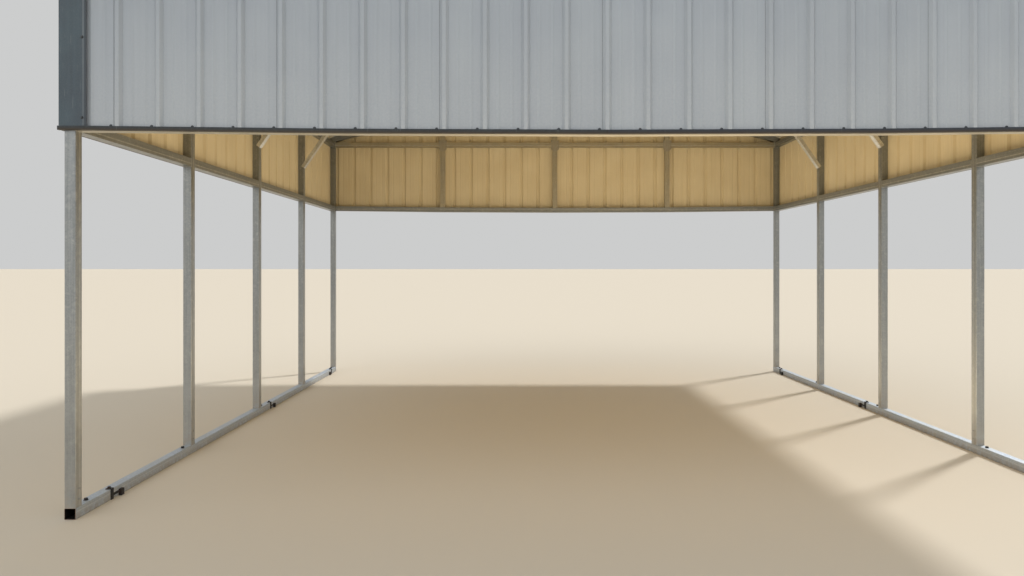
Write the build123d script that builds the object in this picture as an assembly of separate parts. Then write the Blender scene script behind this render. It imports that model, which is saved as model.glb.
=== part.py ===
from build123d import *
import math
import os

# A steel carport. Five square-tube frames stand on two ground rails and carry a ribbed
# sheet roof, and a skirt of the same sheet hangs on all four sides down to head height.
# Millimetres, +Z up, +X to the right, +Y to the back. The origin is on the ground, at
# the middle of the plan.

# Square tube of the frames, rails and girts
tube = 63.5
tube_wall = 2.11
tube_bevel = 3.0

# Plan and height of the frames, outside the tubes
frame_width = 6096.0
frame_length = 6096.0
frame_count = 5
post_height = 3048.0
roof_rise = 0.25

# The bow's own short legs, and the sleeves that join it to the posts and the posts to the rails
bow_leg = 305.0
sleeve = 57.15
sleeve_wall = 2.11
foot_sleeve_height = 150.0
eave_sleeve_length = 300.0

# Openings under the skirt, measured above the ground rail at the posts. The long gable girts
# hang a little at the middle.
opening_height = 2122.0
girt_sag = 23.0
upright_spacing = 1524.0

# Braces, folded as channels that straddle the tubes
brace_wall = 2.0
brace_depth = 35.0
brace_foot_below_eave = 541.0
brace_angle = 55.0
peak_brace_half = 914.4

# Roll-formed sheet: tall ribs, with two shallow pleats in each pan
sheet = 0.5
rib_pitch = 228.6
rib_height = 19.05
rib_base = 50.8
rib_top = 20.0
pleat_width = 24.0
pleat_height = 2.5
least_step = 0.01

# Roof: hat channels on the bows, the sheets' overhang, ridge cap and rake trims
hat_wall = 1.2
hat_height = 25.4
hat_width = 101.6
hat_top = 38.0
hat_web_run = 8.0
hat_from_ridge = 120.0
hat_from_eave = 260.0
hat_rows = 4
eave_overhang = 152.4
gable_overhang = 152.4
ridge_gap = 25.0
cap_leg = 175.0
rake_flange = 45.0
rake_drop = 45.0
hem = 8.0

# Skirt trims
trim = 0.5
corner_leg = 155.0
bottom_lip = 23.0
trim_lift = 2.0
trim_past_corner = 9.0
sheet_top_gap = 1.0

# Ground anchors: a strap bolted over the rail's inner edge, with an arm to the rod's head.
# Each row's place is measured from the front, middle and back frame.
anchor_plate = 5.0
anchor_strap = 28.0
anchor_tab = 32.0
anchor_arm = 95.0
anchor_arm_height = 14.0
anchor_arm_under = 20.0
anchor_rod = 19.0
anchor_head = 34.0
anchor_head_height = 40.0
anchor_from_frames = {0: 395.0, 2: 350.0, 4: -290.0}

# Heights and lines that follow from the sizes above
half_width = frame_width / 2
half_length = frame_length / 2
post_inside = half_width - tube
pitch_angle = math.atan(roof_rise)
eave_under = tube + post_height
rafter_rise = tube / math.cos(pitch_angle)
eave_top = eave_under + rafter_rise
ridge_top = eave_top + half_width * roof_rise
joint_height = eave_under - bow_leg
girt_under = tube + opening_height
header_under = eave_under - tube
rib_out = rib_height + sheet
frame_places = [
    -half_length + tube / 2 + i * (frame_length - tube) / (frame_count - 1)
    for i in range(frame_count)
]
edge_rib = round((half_length + gable_overhang) / rib_pitch)
roof_half = edge_rib * rib_pitch + rib_top / 2
slope_length = (half_width + eave_overhang) / math.cos(pitch_angle)
down_slope = Vector(math.cos(pitch_angle), 0, -math.sin(pitch_angle))
roof_normal = Vector(math.sin(pitch_angle), 0, math.cos(pitch_angle))


def rafter_under(x):
    """Height of the rafters' underside at a place across the width."""
    return eave_under + (half_width - abs(x)) * roof_rise


def square_tube(size, wall, length, bevel=0.0):
    """A square tube open at both ends, standing on the origin."""
    outside = Rectangle(size, size)
    if bevel:
        outside = chamfer(outside.vertices(), bevel)
    bore = size - 2 * wall
    return extrude(outside - Rectangle(bore, bore), length)


def along_y(piece):
    return Rot(-90, 0, 0) * piece


def along_x(piece):
    return Rot(0, 90, 0) * piece


def folded(points, thickness):
    """The section of a folded strip: its outer line, and that line offset to its right."""
    line = [Vector(*point) for point in points]
    inner = []
    for i, point in enumerate(line):
        before = (point - line[i - 1]).normalized() if i else None
        after = (line[i + 1] - point).normalized() if i < len(line) - 1 else None
        before = before or after
        after = after or before
        right_before = Vector(before.Y, -before.X)
        right_after = Vector(after.Y, -after.X)
        mitre = (right_before + right_after).normalized()
        inner.append(point + mitre * (thickness / mitre.dot(right_after)))
    return make_face(Polyline(*line, *reversed(inner), close=True))


def ribbed_section(low, high, pleats):
    """Section of a ribbed sheet between two places, its flat side on y = 0 and ribs up."""
    points = []
    for rib in range(math.floor(low / rib_pitch) - 1, math.ceil(high / rib_pitch) + 1):
        centre = rib * rib_pitch
        points.append((centre - rib_base / 2, sheet))
        points.append((centre - rib_top / 2, rib_out))
        points.append((centre + rib_top / 2, rib_out))
        points.append((centre + rib_base / 2, sheet))
        for third in (1, 2):
            pleat = centre + third * rib_pitch / 3
            if pleats:
                points.append((pleat - pleat_width / 2, sheet))
                points.append((pleat, sheet + pleat_height))
                points.append((pleat + pleat_width / 2, sheet))
    inside = [point for point in points if low + least_step < point[0] < high - least_step]
    on_a_rib = abs(high - round(high / rib_pitch) * rib_pitch) <= rib_top / 2 + least_step
    end = rib_out if on_a_rib else sheet
    return folded([(low, end)] + inside + [(high, end)], sheet)


def save(name, *pieces):
    solids = [solid for piece in pieces for solid in piece.solids()]
    shape = solids[0] if len(solids) == 1 else Compound(solids)
    export_step(shape, f"parts/{name}.step")


def mirrored(piece):
    """The same piece on the left side."""
    return mirror(piece, about=Plane.YZ)


os.makedirs("parts", exist_ok=True)

# Ground rails: each one tube from the front frame to the back one, with open ends.
rail_centre = half_width - tube / 2
right_rail = Pos(rail_centre, -half_length, tube / 2) * along_y(
    square_tube(tube, tube_wall, frame_length, tube_bevel)
)
save("base_rail_right", right_rail)
save("base_rail_left", mirrored(right_rail))

# Posts stand on the rails and reach up to the bows' legs.
for number, place in enumerate(frame_places, 1):
    post = Pos(rail_centre, place, tube) * square_tube(
        tube, tube_wall, joint_height - tube, tube_bevel
    )
    save(f"right_post_{number}", post)
    save(f"left_post_{number}", mirrored(post))


def bow_outline(inset, foot):
    """Outline of a bow in x and z, its sides moved in by inset, its legs cut at foot."""
    outer = half_width - inset
    inner = post_inside + inset
    lift = inset / math.cos(pitch_angle)
    points = [
        (outer, foot),
        (outer, rafter_under(outer) + rafter_rise - lift),
        (0, ridge_top - lift),
        (-outer, rafter_under(outer) + rafter_rise - lift),
        (-outer, foot),
        (-inner, foot),
        (-inner, rafter_under(inner) + lift),
        (0, rafter_under(0) + lift),
        (inner, rafter_under(inner) + lift),
        (inner, foot),
    ]
    return Plane.XZ * make_face(Polyline(*points, close=True))


# Bows: two rafters and two short legs of the same tube, mitred and welded into one.
bow = extrude(bow_outline(0, joint_height), tube / 2, both=True)
bow -= extrude(bow_outline(tube_wall, joint_height - tube), tube / 2 - tube_wall, both=True)
for number, place in enumerate(frame_places, 1):
    save(f"roof_bow_{number}", Pos(0, place, 0) * bow)

# Sleeves inside the tubes: one on the rail in each post's foot, one across each bow joint,
# drawn against the tubes' outer wall by its screws.
sleeve_clearance = (tube - 2 * tube_wall - sleeve) / 2
sleeves = []
for place in frame_places:
    foot_sleeve = square_tube(sleeve, sleeve_wall, foot_sleeve_height)
    eave_sleeve = square_tube(sleeve, sleeve_wall, eave_sleeve_length)
    sleeves.append(Pos(rail_centre, place, tube) * foot_sleeve)
    sleeves.append(
        Pos(rail_centre + sleeve_clearance, place, joint_height - eave_sleeve_length / 2)
        * eave_sleeve
    )
save("post_sleeves", *sleeves, *[mirrored(piece) for piece in sleeves])


def channel(length):
    """Brace channel: its web's inner face on y = 0, its flanges up, running along +Z."""
    half = tube / 2 + brace_wall
    section = folded(
        [
            (half, brace_depth),
            (half, -brace_wall),
            (-half, -brace_wall),
            (-half, brace_depth),
        ],
        brace_wall,
    )
    return extrude(section, length)


# Knee braces, on the three frames between the gables, from post to rafter.
brace_slope = math.radians(brace_angle)
brace_foot = eave_under - brace_foot_below_eave
brace_run = (rafter_under(post_inside) - brace_foot) / (math.tan(brace_slope) - roof_rise)
brace_length = brace_run / math.cos(brace_slope)
brace_up = Vector(-math.cos(brace_slope), 0, math.sin(brace_slope))
knee_braces = [
    Plane(origin=(post_inside, place, brace_foot), x_dir=(0, -1, 0), z_dir=brace_up)
    * channel(brace_length)
    for place in frame_places[1:-1]
]
save("knee_braces", *knee_braces, *[mirrored(piece) for piece in knee_braces])

# Peak braces, level channels under the ridge of the same frames.
peak_braces = [
    Plane(
        origin=(-peak_brace_half, place, rafter_under(peak_brace_half)),
        x_dir=(0, 1, 0),
        z_dir=(1, 0, 0),
    )
    * channel(2 * peak_brace_half)
    for place in frame_places[1:-1]
]
save("peak_braces", *peak_braces)

# Side girts between the posts: one row under the skirt, one row at the eave.
side_girts = []
eave_girts = []
for near, far in zip(frame_places[:-1], frame_places[1:]):
    girt = along_y(square_tube(tube, tube_wall, far - near - tube))
    side_girts.append(Pos(rail_centre, near + tube / 2, girt_under + tube / 2) * girt)
    eave_girts.append(Pos(rail_centre, near + tube / 2, header_under + tube / 2) * girt)
save("side_girts", *side_girts, *[mirrored(piece) for piece in side_girts])
save("eave_girts", *eave_girts, *[mirrored(piece) for piece in eave_girts])

# Gable framing: a girt under the skirt, a header between the post tops, three uprights.
gable_place = half_length - tube / 2
upright_places = (-upright_spacing, 0.0, upright_spacing)


def gable_line(half, height):
    """Points at a height over the gable girts' underside, which hangs between the posts."""
    places = sorted({-half, -post_inside, *upright_places, post_inside, half})
    return [
        (x, girt_under + height - girt_sag * max(0, 1 - (x / post_inside) ** 2)) for x in places
    ]


def gable_band(half, low, high):
    """A band along the gable girts between two heights over their underside."""
    line = gable_line(half, low) + gable_line(half, high)[::-1]
    return Plane.XZ * make_face(Polyline(*line, close=True))


roof_space = Plane.XZ * make_face(
    Polyline(
        (-half_width, rafter_under(half_width)),
        (0, rafter_under(0)),
        (half_width, rafter_under(half_width)),
        (half_width, ridge_top + tube),
        (-half_width, ridge_top + tube),
        close=True,
    )
)
roof_space = extrude(roof_space, half_length, both=True)
gables = {"front": -1, "back": 1}
girt = extrude(gable_band(post_inside, 0, tube), tube / 2, both=True)
girt_bore = gable_band(half_width, tube_wall, tube - tube_wall)
girt -= extrude(girt_bore, tube / 2 - tube_wall, both=True)
girt_space = extrude(gable_band(post_inside, 0, tube), half_length, both=True)
uprights = []
headers = []
for name, outward in gables.items():
    place = outward * gable_place
    save(f"{name}_girt", Pos(0, place, 0) * girt)
    for x in upright_places:
        full = Pos(x, place, girt_under) * square_tube(tube, tube_wall, ridge_top - girt_under)
        upright = full - roof_space - girt_space
        uprights.append(upright.solids().sort_by(Axis.Z)[-1])
    stops = [-post_inside, *upright_places, post_inside]
    for near, far in zip(stops[:-1], stops[1:]):
        start = near if near == -post_inside else near + tube / 2
        end = far if far == post_inside else far - tube / 2
        piece = along_x(square_tube(tube, tube_wall, end - start))
        headers.append(Pos(start, place, header_under + tube / 2) * piece)
save("gable_uprights", *uprights)
save("gable_headers", *headers)

# Hat channels across the bows, feet down, running out to the roof's ends.
hat_section = folded(
    [
        (-hat_width / 2, hat_wall),
        (-hat_top / 2 - hat_web_run, hat_wall),
        (-hat_top / 2, hat_height),
        (hat_top / 2, hat_height),
        (hat_top / 2 + hat_web_run, hat_wall),
        (hat_width / 2, hat_wall),
    ],
    hat_wall,
)
hats = []
hat_spacing = (slope_length - hat_from_ridge - hat_from_eave) / (hat_rows - 1)
for row in range(hat_rows):
    distance = hat_from_ridge + row * hat_spacing
    foot = Vector(0, 0, ridge_top) + down_slope * distance
    hats.append(
        extrude(Plane(origin=foot, x_dir=down_slope, z_dir=(0, -1, 0)) * hat_section,
                roof_half, both=True)
    )
save("roof_channels", *hats, *[mirrored(piece) for piece in hats])

# Roof sheets: ribs down the slope, from beside the ridge to past the eave.
sheet_start = Vector(0, 0, ridge_top) + down_slope * ridge_gap + roof_normal * hat_height
roof_sheet = extrude(
    Plane(origin=sheet_start, x_dir=(0, 1, 0), z_dir=down_slope)
    * ribbed_section(-roof_half, roof_half, False),
    slope_length - ridge_gap,
)
save("right_roof_sheet", roof_sheet)
save("left_roof_sheet", mirrored(roof_sheet))

# Rake trims: an angle over each end rib, with a hem, mitred at the ridge.
rib_crown = hat_height + rib_out
rake_line = [
    (roof_half - rake_flange, rib_crown + trim),
    (roof_half + trim, rib_crown + trim),
    (roof_half + trim, -rake_drop),
    (roof_half + trim - hem, -rake_drop - hem),
]
right_half = Pos(frame_width, 0, ridge_top) * Box(2 * frame_width, 4 * frame_length, frame_width)
rake = extrude(
    Plane(
        origin=Vector(0, 0, ridge_top) - down_slope * tube,
        x_dir=(0, 1, 0),
        z_dir=down_slope,
    )
    * folded(rake_line, trim),
    slope_length + tube,
)
rake = rake & right_half
save("back_rake_trim", rake, mirrored(rake))
front_rake = mirror(rake, about=Plane.XZ)
save("front_rake_trim", front_rake, mirrored(front_rake))

# Ridge cap: a wide angle on the ribs' crowns and the rake trims.
cap_height = rib_crown + 2 * trim
cap_edge = Vector(0, 0, ridge_top) + down_slope * cap_leg + roof_normal * cap_height
cap_apex = (0, ridge_top + cap_height / math.cos(pitch_angle))
cap_section = folded([(-cap_edge.X, cap_edge.Z), cap_apex, (cap_edge.X, cap_edge.Z)], trim)
save("ridge_cap", extrude(Plane.XZ * cap_section, roof_half, both=True))

# Skirt sheets on the long sides.
skirt_foot = girt_under + trim_lift + trim
skirt_top = eave_top - sheet_top_gap
side_sheet = extrude(
    Plane(origin=(half_width, 0, skirt_foot), x_dir=(0, -1, 0), z_dir=(0, 0, 1))
    * ribbed_section(-half_length, half_length, True),
    skirt_top - skirt_foot,
)
save("right_side_sheet", side_sheet)
save("left_side_sheet", mirrored(side_sheet))

# Gable sheets run from the hanging girts up to the rafters' upper edge.
gable_outline = Plane.XZ * make_face(
    Polyline(
        *gable_line(half_width, trim_lift + trim),
        (half_width, eave_top - sheet_top_gap),
        (0, ridge_top - sheet_top_gap),
        (-half_width, eave_top - sheet_top_gap),
        close=True,
    )
)
gable_prism = extrude(gable_outline, frame_length, both=True)
for name, outward in gables.items():
    sheet_plane = Plane(
        origin=(0, outward * half_length, girt_under - girt_sag),
        x_dir=(outward, 0, 0),
        z_dir=(0, 0, 1),
    )
    gable_sheet = extrude(
        sheet_plane * ribbed_section(-half_width, half_width, True),
        ridge_top - girt_under + girt_sag,
    )
    save(f"{name}_gable_sheet", gable_sheet & gable_prism)

# Bottom trims: an angle under the sheets' lower edge, its lip over the ribs. The gables'
# ones hang with the girts.
lip_out = rib_out + trim
lip_half = half_width + lip_out + trim_past_corner
gable_lip = extrude(gable_band(lip_half, trim_lift, trim_lift + bottom_lip), lip_out)
gable_lip -= extrude(gable_band(lip_half, trim_lift + trim, trim_lift + 2 * bottom_lip), rib_out)
gable_lip = Pos(0, -half_length, 0) * gable_lip
save("front_bottom_trim", gable_lip)
save("back_bottom_trim", mirror(gable_lip, about=Plane.XZ))
lip_line = [(0, 0), (-lip_out, 0), (-lip_out, bottom_lip)]
side_lip = extrude(
    Plane(
        origin=(half_width, 0, girt_under + trim_lift), x_dir=(-1, 0, 0), z_dir=(0, 1, 0)
    )
    * folded(lip_line, trim),
    half_length,
    both=True,
)
save("right_bottom_trim", side_lip)
save("left_bottom_trim", mirrored(side_lip))

# Corner trims: wide angles on the ribs, with a hem along each edge.
corner_x = half_width + rib_out + trim
corner_y = half_length + rib_out + trim
corner_line = [
    (corner_x - corner_leg + hem / 2, corner_y - hem),
    (corner_x - corner_leg, corner_y),
    (corner_x, corner_y),
    (corner_x, corner_y - corner_leg),
    (corner_x - hem, corner_y - corner_leg + hem / 2),
]
corner_foot = girt_under + trim_lift + bottom_lip
for name in gables:
    corner = Pos(0, 0, corner_foot) * extrude(
        folded(corner_line, trim), skirt_top - corner_foot
    )
    if name == "front":
        corner = mirror(corner, about=Plane.XZ)
    save(f"{name}_right_corner_trim", corner)
    save(f"{name}_left_corner_trim", mirrored(corner))

# Ground anchors: the strap is folded over the rail's inner edge, the arm lies against the
# rail's side, and the rod's head stands on the ground at the arm's end.
anchors = []
for frame, offset in anchor_from_frames.items():
    side = math.copysign(1, offset)
    middle = frame_places[frame] + offset
    strap_place = middle - side * anchor_arm / 2
    rod_place = middle + side * anchor_arm / 2
    plate_centre = post_inside - anchor_plate / 2
    strap_top = tube + anchor_plate
    strap = Pos(plate_centre, strap_place, strap_top / 2) * Box(
        anchor_plate, anchor_strap, strap_top
    )
    strap += Pos(post_inside + anchor_tab / 2, strap_place, tube + anchor_plate / 2) * Box(
        anchor_tab, anchor_strap, anchor_plate
    )
    strap += Pos(plate_centre, middle, anchor_arm_under + anchor_arm_height / 2) * Box(
        anchor_plate, anchor_arm, anchor_arm_height
    )
    head_centre = post_inside - anchor_rod / 2
    strap += Pos(head_centre, rod_place, anchor_head_height / 2) * Box(
        anchor_rod, anchor_head, anchor_head_height
    )
    anchors.append(strap)
save("ground_anchors", *anchors, *[mirrored(piece) for piece in anchors])
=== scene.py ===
import math

import bpy
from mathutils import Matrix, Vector


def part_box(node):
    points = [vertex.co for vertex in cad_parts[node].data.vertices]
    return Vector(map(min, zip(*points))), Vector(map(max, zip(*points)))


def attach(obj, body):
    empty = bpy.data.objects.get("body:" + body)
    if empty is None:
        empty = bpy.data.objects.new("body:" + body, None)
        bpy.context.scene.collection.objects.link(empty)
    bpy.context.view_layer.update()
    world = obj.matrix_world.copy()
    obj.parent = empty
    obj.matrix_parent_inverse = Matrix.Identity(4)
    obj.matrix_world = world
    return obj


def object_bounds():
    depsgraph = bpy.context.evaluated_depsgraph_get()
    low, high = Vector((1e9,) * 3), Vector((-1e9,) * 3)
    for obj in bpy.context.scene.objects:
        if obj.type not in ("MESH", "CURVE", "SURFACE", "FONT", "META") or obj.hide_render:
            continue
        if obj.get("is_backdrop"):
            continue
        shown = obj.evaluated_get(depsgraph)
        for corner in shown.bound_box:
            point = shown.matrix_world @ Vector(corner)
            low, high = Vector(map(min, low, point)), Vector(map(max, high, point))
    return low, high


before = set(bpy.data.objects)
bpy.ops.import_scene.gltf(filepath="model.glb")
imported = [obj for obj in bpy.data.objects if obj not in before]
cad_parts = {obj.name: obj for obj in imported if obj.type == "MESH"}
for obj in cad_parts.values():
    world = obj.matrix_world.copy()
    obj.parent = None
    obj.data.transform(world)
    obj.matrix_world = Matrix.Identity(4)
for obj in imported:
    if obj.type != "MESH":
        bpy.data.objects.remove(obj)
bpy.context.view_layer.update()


# Camera
# A wide lens at eye height, a little left of the middle and level, so that the posts stay
# upright and the front skirt fills the top of the picture.

camera = bpy.data.objects.new("camera", bpy.data.cameras.new("camera"))
camera.data.sensor_width = 36.0
camera.data.lens = 26.64
camera.data.shift_x = -0.0060
camera.data.shift_y = -0.0202
camera.location = (-0.4997, -7.3026, 1.418)
camera.rotation_euler = (math.radians(90), 0, 0)
bpy.context.scene.collection.objects.link(camera)
bpy.context.scene.camera = camera
bpy.context.scene.view_settings.view_transform = "Standard"


# Studio
# A plain pale floor out to the horizon under a pale sky, brighter in front than behind. A soft
# lamp high at the back right throws the roof's shadow forwards, a weak one fills in from the
# front left, and two warm cards on the floor light the underside, as pale ground would.


def linear(colour):
    """An sRGB hex colour as four linear numbers."""
    parts = [int(colour[i : i + 2], 16) / 255 for i in (1, 3, 5)]
    parts = [p / 12.92 if p <= 0.04045 else ((p + 0.055) / 1.055) ** 2.4 for p in parts]
    return (*parts, 1.0)


def add(tree, kind, sockets=None, **settings):
    """Adds a node to a tree, sets its own settings, and fills or links its sockets, by name or
    number. A node that is given for a socket is linked by the first output it has in use.
    A Map Range takes its value in 0, the range in 1 and 2, and what that becomes in 3 and 4.
    A Mix takes its share in 0 and what it mixes in 6 and 7, or in 2 and 3 for plain numbers."""
    node = tree.nodes.new(kind)
    for name, value in settings.items():
        setattr(node, name, value)
    for name, value in (sockets or {}).items():
        socket = node.inputs[name]
        if isinstance(value, bpy.types.Node):
            value = next(output for output in value.outputs if output.enabled)
        if isinstance(value, bpy.types.NodeSocket):
            tree.links.new(value, socket)
        elif isinstance(value, str) and value.startswith("#"):
            socket.default_value = linear(value)
        else:
            socket.default_value = value
    return node


def blank_material(name):
    """A new material with nothing in its tree yet."""
    material = bpy.data.materials.new(name)
    material.use_nodes = True
    material.node_tree.nodes.clear()
    return material


world = bpy.data.worlds.new("pale studio")
world.use_nodes = True
tree = world.node_tree
tree.nodes.clear()
way = add(tree, "ShaderNodeTexCoord").outputs["Generated"]
way = add(tree, "ShaderNodeSeparateXYZ", {0: way}).outputs["Y"]
# The front half of the sky is the brighter one, so that the tubes' side faces read darker.
front_glow, back_glow = 1.08, 0.68
glow = add(tree, "ShaderNodeMapRange", {0: way, 1: -0.7, 2: 0.0, 3: front_glow, 4: back_glow})
sky = add(tree, "ShaderNodeBackground", {"Color": "#f2f3f3", "Strength": glow})
add(tree, "ShaderNodeOutputWorld", {"Surface": sky})
bpy.context.scene.world = world

floor_reach = 600.0
corners = [(x * floor_reach, y * floor_reach, 0) for x, y in ((-1, -1), (1, -1), (1, 1), (-1, 1))]
floor_mesh = bpy.data.meshes.new("floor")
floor_mesh.from_pydata(corners, [], [(0, 1, 2, 3)])
floor = bpy.data.objects.new("floor", floor_mesh)
bpy.context.scene.collection.objects.link(floor)
# Matt paint: it takes the shadows softly and mirrors next to nothing.
floor_paint = blank_material("matt floor paint")
tree = floor_paint.node_tree
paint = add(
    tree,
    "ShaderNodeBsdfPrincipled",
    {"Base Color": "#d0c6b5", "Roughness": 0.95, "Specular IOR Level": 0.1},
)
add(tree, "ShaderNodeOutputMaterial", {"Surface": paint})
floor_mesh.materials.append(floor_paint)
floor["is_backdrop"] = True

for name, energy, angle, tilt, turn in (
    ("back right lamp", 2.2, 6, 42, 130),
    ("front left lamp", 0.34, 60, 58, -35),
):
    lamp = bpy.data.objects.new(name, bpy.data.lights.new(name, "SUN"))
    lamp.data.energy = energy
    lamp.data.angle = math.radians(angle)
    lamp.rotation_euler = (math.radians(tilt), 0, math.radians(turn))
    bpy.context.scene.collection.objects.link(lamp)

card_height, card_colour = 0.01, (1.0, 0.81, 0.53)
for name, wide, deep, x, y, energy in (
    ("card between the posts", 3.2, 5.6, 0.7, 0.0, 72.0),
    ("card under the front girt", 4.4, 0.8, 0.2, -3.1, 66.0),
):
    card = bpy.data.objects.new(name, bpy.data.lights.new(name, "AREA"))
    card.data.shape = "RECTANGLE"
    card.data.size = wide
    card.data.size_y = deep
    card.data.energy = energy
    card.data.color = card_colour
    card.location = (x, y, card_height)
    card.rotation_euler = (math.radians(180), 0, 0)
    card.visible_camera = False
    bpy.context.scene.collection.objects.link(card)


# Ground rails
# Two lengths of square steel tube laid on the ground, roll-formed from galvanised strip, seam
# welded and left unpainted. Their ends are open, cut dry, and have begun to rust.

rail_low, rail_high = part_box("base_rail_right")
rail_inside, rail_end, rail_top = rail_low.x, rail_high.y, rail_high.z
rail_middle = (rail_low.x + rail_high.x) / 2


def galvanised(
    name,
    streak,
    dark="#868a8c",
    light="#949797",
    dull=0.36,
    dirt_height=0.30,
    seam=None,
    cut_ends=False,
):
    """Zinc on rolled strip: crystals that catch the light one by one, with dull patches between.
    Streak is the rolling marks' size in mm along x, y and z. Seam is the tube's welded seam:
    the axis across it, the tubes' spacing along that axis, and its place."""
    material = blank_material(name)
    tree = material.node_tree
    place = add(tree, "ShaderNodeTexCoord").outputs["Object"]
    parts = add(tree, "ShaderNodeSeparateXYZ", {0: place}).outputs
    height = parts["Z"]

    # Spangle: flat zinc crystals about 8 mm across, each turned its own way.
    crystals = add(tree, "ShaderNodeTexVoronoi", {"Vector": place, "Scale": 1000 / 8})
    crystal = add(tree, "ShaderNodeSeparateColor", {0: crystals.outputs["Color"]})
    zinc = add(tree, "ShaderNodeMix", {0: crystal, 6: dark, 7: light}, data_type="RGBA")

    # Rolling marks: long thin streaks down the strip.
    marks = add(
        tree, "ShaderNodeMapping", {"Vector": place, "Scale": [1000 / mm for mm in streak]}
    )
    marks = add(tree, "ShaderNodeTexNoise", {"Vector": marks, "Scale": 1.0, "Detail": 2.0})
    shade = add(tree, "ShaderNodeMapRange", {0: marks, 1: 0.3, 2: 0.7, 3: 0.85, 4: 1.09})
    zinc = add(
        tree, "ShaderNodeMix", {0: 1.0, 6: zinc, 7: shade}, data_type="RGBA", blend_type="MULTIPLY"
    )

    # Storage stain in cloudy patches a hand or two across, and specks of white bloom.
    cloud = add(tree, "ShaderNodeTexNoise", {"Vector": place, "Scale": 1000 / 190, "Detail": 4.0})
    stain = add(tree, "ShaderNodeMapRange", {0: cloud, 1: 0.44, 2: 0.66, 3: 0.0, 4: 0.22})
    zinc = add(tree, "ShaderNodeMix", {0: stain, 6: zinc, 7: "#83888b"}, data_type="RGBA")
    speck = add(tree, "ShaderNodeTexNoise", {"Vector": place, "Scale": 1000 / 34, "Detail": 4.0})
    bloom = add(tree, "ShaderNodeMapRange", {0: speck, 1: 0.54, 2: 0.74, 3: 0.0, 4: 0.22})
    zinc = add(tree, "ShaderNodeMix", {0: bloom, 6: zinc, 7: "#c3c4c1"}, data_type="RGBA")

    # White bloom thickens towards the ground, where the tube stays damp longest. The paler low
    # part is also painted light: the reflection of the bright ground.
    low_bloom_and_glow = add(tree, "ShaderNodeMapRange", {0: height, 1: 0.1, 2: 1.3, 3: 0.7, 4: 0.0})
    low_bloom_and_glow = add(tree, "ShaderNodeMath", {0: low_bloom_and_glow, 1: cloud}, operation="MULTIPLY")
    zinc = add(tree, "ShaderNodeMix", {0: low_bloom_and_glow, 6: zinc, 7: "#c9c8c2"}, data_type="RGBA")

    # Dried splash from the ground, thickest low down.
    low = add(tree, "ShaderNodeMapRange", {0: height, 1: 0.0, 2: dirt_height, 3: 0.75, 4: 0.0})
    patchy = add(tree, "ShaderNodeMapRange", {0: speck, 1: 0.36, 2: 0.62, 3: 0.15, 4: 1.0})
    dirt = add(tree, "ShaderNodeMath", {0: low, 1: patchy}, operation="MULTIPLY")
    colour = add(tree, "ShaderNodeMix", {0: dirt, 6: zinc, 7: "#a29684"}, data_type="RGBA")

    if seam:
        # The welded seam was sprayed with zinc again: a paler matt stripe about 7 mm wide.
        axis, spacing, middle = seam
        stripe_half = 0.0035
        aside = add(tree, "ShaderNodeVectorMath", {0: place, 1: axis}, operation="DOT_PRODUCT")
        aside = add(
            tree,
            "ShaderNodeMath",
            {0: aside, 1: middle + spacing / 2, 2: middle - spacing / 2},
            operation="WRAP",
        )
        stripe = add(
            tree, "ShaderNodeMath", {0: aside, 1: middle, 2: stripe_half}, operation="COMPARE"
        )
        sprayed = add(tree, "ShaderNodeMapRange", {0: speck, 1: 0.3, 2: 0.6, 3: 0.25, 4: 0.7})
        stripe = add(tree, "ShaderNodeMath", {0: stripe, 1: sprayed}, operation="MULTIPLY")
        colour = add(tree, "ShaderNodeMix", {0: stripe, 6: colour, 7: "#c6c8c7"}, data_type="RGBA")

    if cut_ends:
        # The zinc is on the outside only: from 1.5 mm in, the tube is painted near black, bare
        # mill oxide darkened further as painted shade inside the open ends.
        bare_from = rail_top / 2 - 0.0015
        across = add(tree, "ShaderNodeMath", {0: parts["X"]}, operation="ABSOLUTE")
        reach = []
        for part, middle in ((across, rail_middle), (height, rail_top / 2)):
            part = add(tree, "ShaderNodeMath", {0: part, 1: middle}, operation="SUBTRACT")
            reach.append(add(tree, "ShaderNodeMath", {0: part}, operation="ABSOLUTE"))
        reach = add(tree, "ShaderNodeMath", {0: reach[0], 1: reach[1]}, operation="MAXIMUM")
        inner_oxide_and_shade = add(tree, "ShaderNodeMath", {0: reach, 1: bare_from}, operation="LESS_THAN")
        colour = add(tree, "ShaderNodeMix", {0: inner_oxide_and_shade, 6: colour, 7: "#2b2725"}, data_type="RGBA")

        # The open ends were cut dry: rust creeps in about 3 mm from the edge.
        rust_from, rust_to = rail_end - 0.0035, rail_end - 0.0002
        along = add(tree, "ShaderNodeMath", {0: parts["Y"]}, operation="ABSOLUTE")
        cut = add(
            tree, "ShaderNodeMapRange", {0: along, 1: rust_from, 2: rust_to, 3: 0.0, 4: 0.75}
        )
        colour = add(tree, "ShaderNodeMix", {0: cut, 6: colour, 7: "#7d5a41"}, data_type="RGBA")

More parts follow.
